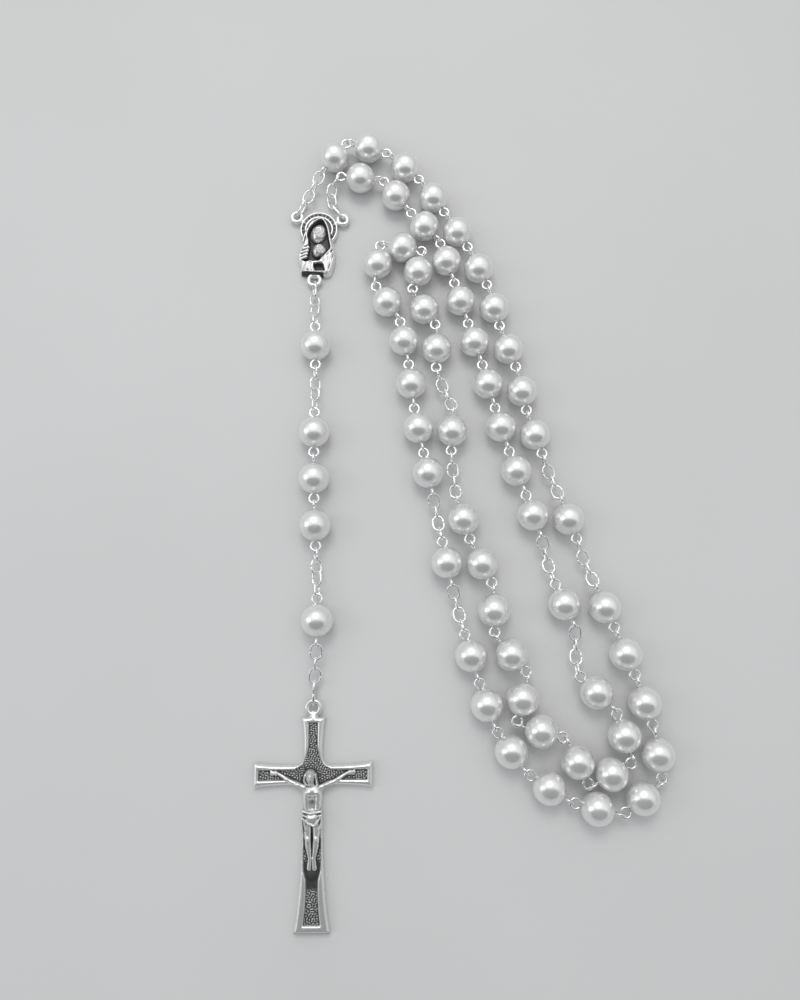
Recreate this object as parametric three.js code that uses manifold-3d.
// A five-decade rosary of imitation pearls, laid out on a table.
//
// Every bead is threaded on a wire eye pin that ends in a round loop each side. Loops thread
// through loops inside a decade, and a short run of oval chain links joins each large gap. The
// loop of the rosary ends at two eyes of the cast centrepiece. A pendant of five beads hangs
// from its third eye and ends in the crucifix.
//
// Millimetres, +Z up. The back of the crucifix and of the centrepiece and the underside of
// every bead rest on z = 0. +Y runs from the crucifix to the centrepiece.

import * as THREE from 'three';
import { mergeVertices } from 'three/addons/utils/BufferGeometryUtils.js';
import Module from 'manifold-3d';

const wasm = await Module();
wasm.setup();

// ---- Driving dimensions -------------------------------------------------------------------

const BEAD_DIAMETER = 8;
const BEAD_RADIUS = BEAD_DIAMETER / 2;
const BEAD_SIDES = 8;
const BEAD_PITCH = 12.3;          // from pivot to pivot over one bead and its two loops

const PIN_WIRE = 0.6;
const PIN_LOOP_RADIUS = 1.2;      // to the middle of the wire

const LINK_WIRE = 0.55;
const LINK_PITCH = 2.95;          // from pivot to pivot over one chain link
const LINK_HALF_WIDTH = 1.38;     // to the middle of the wire
const LINKS_PER_RUN = 4;
const RUN_SPAN = 11.4;            // how far apart a slack run's two ends lie
const PENDANT_RUN_SPAN = 11.7;    // the pendant's runs are pulled almost straight

const JUMP_RING_PITCH = 4.3;      // the larger oval ring that holds an eye of the centrepiece
const LONG_RING_PITCH = 5.2;      // the longest one, that holds the crucifix
const JUMP_RING_WIRE = 0.65;
const JUMP_RING_HALF_WIDTH = 1.4;
const EYE_RUN_SPAN = 13;          // a jump ring and three links
const CROSS_RUN_SPAN = 13.9;      // three links and the long ring
const RING_PITCHES = { link: LINK_PITCH, jump_ring: JUMP_RING_PITCH, long_ring: LONG_RING_PITCH };

const THREADED = 0.4;             // how far a wire passes its pivot where it can turn
const JOINED = 0.12;              // the same where two wires are one solid
const OPENED = -0.5;              // the same at the one pivot where the loop is opened
const RING_SIDES = 6;
const WIRE_SIDES = 4;

const EYE_WIRE = 1.0;             // the round bar of the castings' eyes
const EYE_THREADED = 0.62;
const EYE_HEIGHT = 1.45;          // middle of the eyes above the table
const SIDE_EYE_RADIUS = 1.35;     // to the middle of the bar
const LOW_EYE_RADIUS = 1.55;

const HALO_RADIUS = 5.3;
const MEDAL_PLATE = 1.5;          // thickness of the centrepiece's flat back
const MEDAL_DROP = 13.8;          // from the halo's centre to the foot of the figures
const MEDAL_FOOT_HALF = 3.8;

const CROSS_TOP = 13.5;           // from the middle of the crossing
const CROSS_FOOT = 35.2;
const CROSS_ARM = 14.35;
const CROSS_HALF_STEM = 2.3;      // half the width of stem and arms by the crossing
const CROSS_HALF_TOP = 3.0;
const CROSS_HALF_ARM_END = 3.0;
const CROSS_HALF_FOOT = 4.3;
const CROSS_FILLET = 2.2;
const CROSS_THICK = 2.4;
const CROSS_RIM = 0.9;
const CROSS_RECESS = 0.7;
const CROSS_EYE_RISE = 2.2;       // eye's centre above the top of the cross
const CROSS_EYE_RADIUS = 1.6;

// ---- Where the pieces lie -----------------------------------------------------------------

const MEDAL_PLACE = new THREE.Vector3(-22.6, 120.2, 0);
const MEDAL_TURN = THREE.MathUtils.degToRad(-3.5);
const LEFT_EYE = new THREE.Vector3(-6.4, 3.3, EYE_HEIGHT);
const RIGHT_EYE = new THREE.Vector3(6.4, 3.3, EYE_HEIGHT);
const LOW_EYE = new THREE.Vector3(0, -15.4, EYE_HEIGHT);
const CROSS_TURN = THREE.MathUtils.degToRad(0.7);

// The loop as it was laid: out from the centrepiece and round the far bend, back to the tip,
// down again on the inside and home.
const LOOP_ROUTE = [
  [-22, 136], [-14.5, 146], [-3, 142], [6, 133.3], [12.8, 123], [19, 112.5], [24, 101],
  [27, 89], [31, 77.5], [33.3, 65.5], [37, 54], [41, 43], [48.7, 21], [53.3, 9.4],
  [57.7, -2], [61.2, -14], [62.4, -26.2], [52.4, -33.5], [40.4, -30.6], [30, -23.8],
  [23, -14], [19, -2], [13, 20.6], [8.4, 44], [3.6, 68], [2.2, 80.2], [-0.2, 92.4],
  [-7, 102.6], [-5, 114.8], [7, 111.6], [3.2, 100], [10, 89.6], [9.6, 77.3], [14, 66.8],
  [13.2, 54.5], [14.4, 43.2], [18, 31.4], [23.4, 20.3], [23.5, 8], [31.5, -1.4],
  [28.2, -13.3], [40.2, -16.2], [45.4, -27.4], [56, -21.3], [52.2, -9.6], [43.4, -1],
  [43.3, 10.4], [38.5, 21.8], [35.8, 32.8], [32, 44.5], [28, 56.2], [24.7, 68],
  [21.6, 80], [18, 91.8], [14.5, 103.5], [10.8, 115.2], [2.6, 124.2], [-4.8, 133.9],
  [-17, 135], [-22, 134],
];
const PENDANT_ROUTE = [[-23.4, 103.7], [-22.5, 84], [-22.2, 48], [-20.5, 12], [-21.4, -12.5]];
const ROUTE_SAMPLES = 8000;

const FLAT = 0;                   // a ring that lies parallel to the table
const UPRIGHT = Math.PI / 2;      // a ring that stands on edge
const UP = new THREE.Vector3(0, 0, 1);
const DOWN = new THREE.Vector3(0, 0, -1);
const AWAY = new THREE.Vector3(-1, 0, -0.2);

// Points on a route that lie the given spans apart, one after another.
function walk(route, spans) {
  const corners = route.map(([x, y]) => new THREE.Vector3(x, y, BEAD_RADIUS));
  const samples = new THREE.CatmullRomCurve3(corners).getSpacedPoints(ROUTE_SAMPLES);
  const stops = [samples[0]];
  let next = 1;
  for (const span of spans) {
    const last = stops.at(-1);
    while (next < samples.length - 1 && samples[next].distanceTo(last) < span) next += 1;
    const step = samples[next].clone().sub(last).setLength(span);
    stops.push(last.clone().add(step));
  }
  return stops;
}

// Pivots of a slack chain between two points: its links lie on a polygon of one circle, which
// sags to one side. The half turn between links is found by bisection.
function slackChain(from, to, pitches, sagTowards) {
  const length = pitches.reduce((sum, pitch) => sum + pitch, 0);
  const span = to.clone().sub(from);
  const fullness = Math.min(span.length() / length, 0.9995);
  let low = 1e-4;
  let high = Math.PI;
  for (let i = 0; i < 40; i += 1) {
    const middle = (low + high) / 2;
    if (Math.sin(middle) / middle > fullness) low = middle;
    else high = middle;
  }
  const halfTurn = low;
  const radius = length / (2 * halfTurn);
  const along = span.clone().normalize();
  const side = sagTowards.clone().addScaledVector(along, -sagTowards.dot(along)).normalize();
  const centre = from.clone().add(to).multiplyScalar(0.5);
  centre.addScaledVector(side, -radius * Math.cos(halfTurn));
  const pivots = [];
  let done = 0;
  for (const pitch of [0, ...pitches]) {
    done += pitch;
    const angle = halfTurn * (2 * done / length - 1);
    const pivot = centre.clone().addScaledVector(along, radius * Math.sin(angle));
    pivots.push(pivot.addScaledVector(side, radius * Math.cos(angle)));
  }
  return pivots;
}

// Where the first ring threads an eye of a casting, on the side that it is pulled to.
function eyePivot(castingPlace, castingTurn, eye, eyeRadius, towards) {
  const centre = eye.clone().applyAxisAngle(UP, castingTurn).add(castingPlace);
  const pull = towards.clone().sub(centre).setZ(0).normalize();
  return centre.addScaledVector(pull, eyeRadius - EYE_THREADED);
}

// ---- Solids -------------------------------------------------------------------------------

function toSolid(geometry) {
  const bare = geometry.clone();
  bare.deleteAttribute('normal');
  bare.deleteAttribute('uv');
  const merged = mergeVertices(bare, 1e-4);
  const mesh = new wasm.Mesh({
    numProp: 3,
    vertProperties: new Float32Array(merged.attributes.position.array),
    triVerts: new Uint32Array(merged.index.array),
  });
  return new wasm.Manifold(mesh);
}

function toGeometry(solid) {
  const { vertProperties, triVerts } = solid.getMesh();
  const geometry = new THREE.BufferGeometry();
  geometry.setAttribute('position', new THREE.BufferAttribute(vertProperties, 3));
  geometry.setIndex(new THREE.BufferAttribute(triVerts, 1));
  geometry.computeVertexNormals();
  return geometry;
}

function join(solids) {
  return solids.reduce((whole, solid) => whole.add(solid));
}

// A closed wire ring in the XY plane, drawn out along X by a straight stretch each way.
function wireRing(reachBack, reachAhead, halfWidth, wire) {
  const ring = new THREE.TorusGeometry(halfWidth, wire / 2, WIRE_SIDES, RING_SIDES);
  const points = ring.attributes.position;
  for (let i = 0; i < points.count; i += 1) {
    const x = points.getX(i);
    points.setX(i, x > 0 ? x + reachAhead - halfWidth : x - reachBack + halfWidth);
  }
  return ring;
}

// The bead's pearl, its hole along X. A flat of it rests on the table.
function pearl() {
  const flat = BEAD_RADIUS * Math.tan(Math.PI / BEAD_SIDES);
  const profile = [
    [0, -BEAD_RADIUS], [flat, -BEAD_RADIUS], [BEAD_RADIUS, -flat],
    [BEAD_RADIUS, flat], [flat, BEAD_RADIUS], [0, BEAD_RADIUS],
  ];
  const halfSide = Math.PI / BEAD_SIDES;
  const corner = 1 / Math.cos(halfSide);
  const points = profile.map(([radius, along]) => new THREE.Vector2(radius * corner, along));
  const body = new THREE.LatheGeometry(points, BEAD_SIDES, halfSide);
  return body.rotateZ(-Math.PI / 2);
}

// One pearl on its eye pin, loops included, along X with its middle at the origin.
function beadSolid(piece, passBack, passAhead) {
  const half = BEAD_PITCH / 2;
  const loop = (towards, pass, roll) => {
    const ring = wireRing(PIN_LOOP_RADIUS, PIN_LOOP_RADIUS, PIN_LOOP_RADIUS, PIN_WIRE);
    ring.rotateX(roll);
    return ring.translate(towards * (half + pass - PIN_LOOP_RADIUS), 0, 0);
  };
  return join([
    toSolid(pearl()),
    toSolid(loop(-1, passBack, piece.rollBack)),
    toSolid(loop(1, passAhead, piece.rollAhead)),
  ]);
}

// One oval chain link or jump ring, along X with its middle at the origin.
function linkSolid(piece, passBack, passAhead) {
  const half = piece.from.distanceTo(piece.to) / 2;
  const isLink = piece.kind === 'link';
  const halfWidth = isLink ? LINK_HALF_WIDTH : JUMP_RING_HALF_WIDTH;
  const wire = isLink ? LINK_WIRE : JUMP_RING_WIRE;
  const ring = wireRing(half + passBack, half + passAhead, halfWidth, wire);
  return toSolid(ring.rotateX(piece.roll));
}

function ellipsoid([x, y, z], [width, height, depth]) {
  const ball = new THREE.SphereGeometry(0.5, 7, 5);
  return toSolid(ball.scale(width, height, depth).translate(x, y, z));
}

// A straight limb between two points, thicker at its root.
function limb(root, tip, rootRadius, tipRadius) {
  const from = new THREE.Vector3(...root);
  const to = new THREE.Vector3(...tip);
  const body = new THREE.CylinderGeometry(tipRadius, rootRadius, from.distanceTo(to), 6);
  const lean = new THREE.Quaternion();
  lean.setFromUnitVectors(new THREE.Vector3(0, 1, 0), to.clone().sub(from).normalize());
  body.applyQuaternion(lean);
  const middle = from.add(to).multiplyScalar(0.5);
  return toSolid(body.translate(middle.x, middle.y, middle.z));
}

// A casting's eye: a round bar bent to a ring that lies flat.
function castEye(place, radius) {
  const ring = new THREE.TorusGeometry(radius, EYE_WIRE / 2, 5, 9);
  return toSolid(ring.translate(place.x, place.y, place.z));
}

function plate(outline, thickness, curveSteps) {
  const settings = { depth: thickness, bevelEnabled: false, curveSegments: curveSteps };
  return new THREE.ExtrudeGeometry(outline, settings);
}

// The cross's outline, drawn in all round by an inset: the arms flare to their ends and meet in
// fillets, and the stem flares to the foot.
function crossOutline(inset) {
  const stem = CROSS_HALF_STEM - inset;
  const bend = CROSS_HALF_STEM + CROSS_FILLET;
  const top = CROSS_TOP - inset;
  const arm = CROSS_ARM - inset;
  const foot = -CROSS_FOOT + inset;
  const topHalf = CROSS_HALF_TOP - inset;
  const armHalf = CROSS_HALF_ARM_END - inset;
  const footHalf = CROSS_HALF_FOOT - inset;
  const outline = new THREE.Shape();
  outline.moveTo(-topHalf, top);
  outline.quadraticCurveTo(-stem, top * 0.8, -stem, bend);
  outline.quadraticCurveTo(-stem, stem, -bend, stem);
  outline.quadraticCurveTo(-arm * 0.8, stem, -arm, armHalf);
  outline.lineTo(-arm, -armHalf);
  outline.quadraticCurveTo(-arm * 0.8, -stem, -bend, -stem);
  outline.quadraticCurveTo(-stem, -stem, -stem, -bend);
  outline.quadraticCurveTo(-stem, foot * 0.7, -footHalf, foot);
  outline.lineTo(footHalf, foot);
  outline.quadraticCurveTo(stem, foot * 0.7, stem, -bend);
  outline.quadraticCurveTo(stem, -stem, bend, -stem);
  outline.quadraticCurveTo(arm * 0.8, -stem, arm, -armHalf);
  outline.lineTo(arm, armHalf);
  outline.quadraticCurveTo(arm * 0.8, stem, bend, stem);
  outline.quadraticCurveTo(stem, stem, stem, bend);
  outline.quadraticCurveTo(stem, top * 0.8, topHalf, top);
  return outline;
}

// The figure on the cross, hands out along the arms and feet together.
function corpus() {
  const floor = CROSS_THICK - CROSS_RECESS;
  const parts = [
    ellipsoid([0, -0.4, floor + 1.0], [3.1, 4.0, 2.6]),
    ellipsoid([0, -3.9, floor + 0.4], [4.8, 4.4, 2.2]),
    ellipsoid([0, -6.6, floor], [3.5, 4.4, 2.4]),
    ellipsoid([0, -9.2, floor + 0.4], [5.0, 4.2, 2.4]),
    limb([0, -20, floor - 0.1], [0, -23, floor - 0.1], 1.4, 1.1),
  ];
  for (const side of [-1, 1]) {
    parts.push(
      limb([side * 1.6, -2.6, floor + 0.4], [side * 8.6, 0.6, floor + 0.3], 0.9, 0.55),
      ellipsoid([side * 9.2, 0.7, floor + 0.2], [2.0, 1.3, 1.1]),
      limb([side * 1.2, -9.5, floor + 0.3], [side * 1.0, -14.2, floor + 0.5], 1.2, 0.95),
      limb([side * 1.0, -13.9, floor + 0.5], [side * 0.5, -20.5, floor + 0.3], 0.95, 0.8),
    );
  }
  return join(parts);
}

function crucifixSolid() {
  const body = toSolid(plate(crossOutline(0), CROSS_THICK, 3));
  const panel = plate(crossOutline(CROSS_RIM), CROSS_RECESS * 2, 3);
  const recess = toSolid(panel.translate(0, 0, CROSS_THICK - CROSS_RECESS));
  const eyePlace = new THREE.Vector3(0, CROSS_TOP + CROSS_EYE_RISE, EYE_HEIGHT);
  const neck = limb([0, CROSS_TOP - 0.4, EYE_HEIGHT], [0, CROSS_TOP + 0.9, EYE_HEIGHT], 0.9, 0.7);
  return join([body.subtract(recess), corpus(), neck, castEye(eyePlace, CROSS_EYE_RADIUS)]);
}

// The centrepiece: a haloed mother with her child, half length, cast in relief on a plate whose
// back lies on the table. The halo's centre is the origin.
function centrepieceSolid() {
  const halo = new THREE.CylinderGeometry(HALO_RADIUS, HALO_RADIUS, MEDAL_PLATE, 16);
  halo.rotateX(Math.PI / 2).translate(0, 0, MEDAL_PLATE / 2);
  const rim = new THREE.TorusGeometry(HALO_RADIUS - 0.5, 0.45, 4, 16);
  const figure = new THREE.Shape();
  figure.moveTo(-MEDAL_FOOT_HALF, -MEDAL_DROP);
  figure.lineTo(MEDAL_FOOT_HALF, -MEDAL_DROP);
  figure.quadraticCurveTo(5.4, -9.5, 4.9, -2);
  figure.lineTo(-4.9, -2);
  figure.quadraticCurveTo(-5.4, -9.5, -MEDAL_FOOT_HALF, -MEDAL_DROP);
  const band = new THREE.BoxGeometry(MEDAL_FOOT_HALF * 2, 1.3, 2.4);
  const parts = [
    toSolid(halo),
    toSolid(rim.translate(0, 0, MEDAL_PLATE)),
    toSolid(plate(figure, MEDAL_PLATE + 0.3, 4)),
    toSolid(band.translate(0, -MEDAL_DROP + 0.65, 1.2)),
    ellipsoid([0, -0.6, 1.6], [6.4, 8.4, 2.4]),
    ellipsoid([0, -0.4, 1.9], [4.2, 5.4, 3.0]),
    ellipsoid([0.3, -9.2, 1.5], [8.8, 9.6, 2.2]),
    ellipsoid([0.2, -6.3, 1.9], [3.9, 4.5, 2.8]),
    ellipsoid([-3.4, -8.4, 1.7], [2.0, 3.2, 1.8]),
    castEye(LEFT_EYE, SIDE_EYE_RADIUS),
    castEye(RIGHT_EYE, SIDE_EYE_RADIUS),
    castEye(LOW_EYE, LOW_EYE_RADIUS),
    limb([0, -MEDAL_DROP + 0.4, 1.2], [0, -MEDAL_DROP - 0.5, 1.2], 1.1, 0.9),
  ];
  for (const side of [-1, 1]) {
    parts.push(limb([side * 4.4, 2.2, 0.9], [side * 5.4, 2.8, 1.1], 0.8, 0.6));
  }
  return join(parts);
}

// ---- Pieces and nodes ---------------------------------------------------------------------

function headingOf(piece) {
  return piece.to.clone().sub(piece.from).normalize();
}

// The frame of a piece that runs from one pivot to the next: X along it, Z as near up as it can.
function frameOf(piece) {
  const along = headingOf(piece);
  const across = UP.clone().cross(along).normalize();
  const above = along.clone().cross(across);
  const frame = new THREE.Matrix4().makeBasis(along, across, above);
  return frame.setPosition(piece.from.clone().add(piece.to).multiplyScalar(0.5));
}

function material(colour, roughness, metalness) {
  return new THREE.MeshStandardMaterial({ color: colour, roughness, metalness });
}

const pearlWhite = material(0xe9e8e2, 0.22, 0.0);
const silverWire = material(0xd4d5d8, 0.25, 1.0);
const antiqueSilver = material(0x9a9b9d, 0.38, 1.0);

const rosary = new THREE.Group();

function addMesh(name, solid, finish) {
  const mesh = new THREE.Mesh(toGeometry(solid), finish);
  mesh.name = name;
  rosary.add(mesh);
  return mesh;
}

// One node from a stretch of neighbouring pieces. Where two of them thread each other inside the
// node, their wires meet and make one solid.
function addStretch(name, pieces, finish, passFirst = THREADED, passLast = THREADED) {
  const home = frameOf(pieces[0]);
  const toHome = home.clone().invert();
  const solids = pieces.map((piece, i) => {
    const passBack = i === 0 ? passFirst : JOINED;
    const passAhead = i === pieces.length - 1 ? passLast : JOINED;
    const make = piece.kind === 'bead' ? beadSolid : linkSolid;
    const placed = toHome.clone().multiply(frameOf(piece));
    return make(piece, passBack, passAhead).transform(placed.elements);
  });
  const mesh = addMesh(name, join(solids), finish);
  mesh.applyMatrix4(home);
}

function bead(from, to, rollBack, rollAhead) {
  return { kind: 'bead', from, to, rollBack, rollAhead };
}

// A chain run between two pivots. Each ring is turned about the run from the one before it, in
// equal steps, so that the first and last sit well in the loops or eyes at their ends.
function chainRun(from, to, kinds, sagTowards, startRoll, endRoll) {
  const pitches = kinds.map((kind) => RING_PITCHES[kind]);
  const pivots = slackChain(from, to, pitches, sagTowards);
  const step = (endRoll - startRoll) / (kinds.length + 1);
  return kinds.map((kind, i) => ({
    kind,
    from: pivots[i],
    to: pivots[i + 1],
    roll: startRoll + step * (i + 1),
  }));
}

const PLAIN_RUN = Array(LINKS_PER_RUN).fill('link');
const OUT_OF_EYE = ['jump_ring', 'link', 'link', 'link'];
const INTO_EYE = ['link', 'link', 'link', 'jump_ring'];
const INTO_CROSS = ['link', 'link', 'link', 'long_ring'];
const TURN = Math.PI;

// The pendant: four chain runs and five beads, from the centrepiece's low eye to the crucifix.
function addPendant() {
  const beads = BEAD_PITCH;
  const spans = [
    EYE_RUN_SPAN, beads, PENDANT_RUN_SPAN, beads, beads, beads,
    PENDANT_RUN_SPAN, beads, CROSS_RUN_SPAN,
  ];
  const stops = walk(PENDANT_ROUTE, spans);
  stops[0] = eyePivot(MEDAL_PLACE, MEDAL_TURN, LOW_EYE, LOW_EYE_RADIUS, stops[1]);
  stops[9].setZ(EYE_HEIGHT);
  const top = chainRun(stops[0], stops[1], OUT_OF_EYE, DOWN, FLAT, FLAT + 2 * TURN);
  const upper = chainRun(stops[2], stops[3], PLAIN_RUN, DOWN, FLAT, FLAT + 2 * TURN);
  const lower = chainRun(stops[6], stops[7], PLAIN_RUN, DOWN, FLAT, FLAT + 2 * TURN);
  const bottom = chainRun(stops[8], stops[9], INTO_CROSS, DOWN, UPRIGHT, FLAT + 3 * TURN);
  addStretch('centrepiece_jump_ring', [top[0]], silverWire);
  for (const i of [1, 2, 3]) addStretch(`pendant_link_${i}`, [top[i]], silverWire);
  addStretch('pendant_our_father_upper', [bead(stops[1], stops[2], FLAT, FLAT)], pearlWhite);
  addStretch('pendant_chain_upper_1', upper.slice(0, 2), silverWire);
  addStretch('pendant_chain_upper_2', upper.slice(2), silverWire);
  addStretch('pendant_hail_mary_1', [bead(stops[3], stops[4], FLAT, FLAT)], pearlWhite);
  addStretch('pendant_hail_mary_2', [bead(stops[4], stops[5], UPRIGHT, FLAT)], pearlWhite);
  addStretch('pendant_hail_mary_3', [bead(stops[5], stops[6], UPRIGHT, FLAT)], pearlWhite);
  addStretch('pendant_chain_lower_1', lower.slice(0, 2), silverWire);
  addStretch('pendant_chain_lower_2', lower.slice(2), silverWire);
  addStretch('pendant_our_father_lower', [bead(stops[7], stops[8], FLAT, UPRIGHT)], pearlWhite);
  for (const i of [0, 1, 2]) addStretch(`pendant_link_${i + 4}`, [bottom[i]], silverWire);
  addStretch('crucifix_jump_ring', [bottom[3]], silverWire);
  return stops;
}

// How the ten beads of each decade are grouped into solids. They go in pairs, but a sharp corner
// of the strand lies inside a group.
const PAIRS = [2, 2, 2, 2, 2];
const BEAD_GROUPS = { 1: PAIRS, 2: PAIRS, 3: [2, 2, 1, 3, 2], 4: [2, 2, 2, 3, 1], 5: PAIRS };

// The loop is opened here, half way round, so that its pieces make a tree.
const OPEN_DECADE = 3;
const OPEN_AFTER_BEAD = 5;

// The loop: five decades, four single beads between them, and the chain runs.
function addLoop() {
  const spans = [];
  for (let decade = 1; decade <= 5; decade += 1) {
    spans.push(...Array(10).fill(BEAD_PITCH));
    if (decade < 5) spans.push(RUN_SPAN, BEAD_PITCH, RUN_SPAN);
  }
  const stops = walk(LOOP_ROUTE, spans);
  const leftPivot = eyePivot(MEDAL_PLACE, MEDAL_TURN, LEFT_EYE, SIDE_EYE_RADIUS, stops[0]);
  const rightPivot = eyePivot(MEDAL_PLACE, MEDAL_TURN, RIGHT_EYE, SIDE_EYE_RADIUS, stops.at(-1));
  const first = chainRun(leftPivot, stops[0], OUT_OF_EYE, DOWN, FLAT, UPRIGHT + 2 * TURN);
  addStretch('left_jump_ring', [first[0]], silverWire);
  addStretch('chain_run_left', first.slice(1), silverWire);
  let at = 0;
  for (let decade = 1; decade <= 5; decade += 1) {
    let done = 0;
    for (const count of BEAD_GROUPS[decade]) {
      const beads = Array.from({ length: count }, (_, i) => (
        bead(stops[at + i], stops[at + i + 1], UPRIGHT, FLAT)
      ));
      const numbers = count === 1 ? `bead_${done + 1}` : `beads_${done + 1}_to_${done + count}`;
      const opensBack = decade === OPEN_DECADE && done === OPEN_AFTER_BEAD;
      const opensAhead = decade === OPEN_DECADE && done + count === OPEN_AFTER_BEAD;
      const passFirst = opensBack ? OPENED : THREADED;
      const passLast = opensAhead ? OPENED : THREADED;
      addStretch(`decade_${decade}_${numbers}`, beads, pearlWhite, passFirst, passLast);
      done += count;
      at += count;
    }
    if (decade === 5) break;
    const [before, near, far, after] = stops.slice(at, at + 4);
    const into = chainRun(before, near, PLAIN_RUN, DOWN, FLAT, UPRIGHT + 2 * TURN);
    const out = chainRun(far, after, PLAIN_RUN, DOWN, FLAT, UPRIGHT + 2 * TURN);
    addStretch(`chain_run_${decade}_a`, into, silverWire);
    addStretch(`our_father_${decade}`, [bead(near, far, UPRIGHT, FLAT)], pearlWhite);
    addStretch(`chain_run_${decade}_b`, out, silverWire);
    at += 3;
  }
  const last = chainRun(stops.at(-1), rightPivot, INTO_EYE, AWAY, FLAT, FLAT + 2 * TURN);
  addStretch('chain_run_right', last.slice(0, 3), silverWire);
  addStretch('right_jump_ring', [last[3]], silverWire);
}

const centrepiece = addMesh('centrepiece', centrepieceSolid(), antiqueSilver);
centrepiece.position.copy(MEDAL_PLACE);
centrepiece.rotation.z = MEDAL_TURN;

const pendantStops = addPendant();
addLoop();

const crucifix = addMesh('crucifix', crucifixSolid(), antiqueSilver);
const eyeBelowPivot = CROSS_EYE_RADIUS - EYE_THREADED;
const crossDrop = new THREE.Vector3(0, -eyeBelowPivot - CROSS_EYE_RISE - CROSS_TOP, 0);
crucifix.position.copy(crossDrop.applyAxisAngle(UP, CROSS_TURN).add(pendantStops.at(-1)).setZ(0));
crucifix.rotation.z = CROSS_TURN;

// The origin is under the middle of the whole, on the table.
const extent = new THREE.Box3().setFromObject(rosary, true);
const middle = extent.getCenter(new THREE.Vector3());
rosary.position.set(-middle.x, -middle.y, 0);

export default rosary;
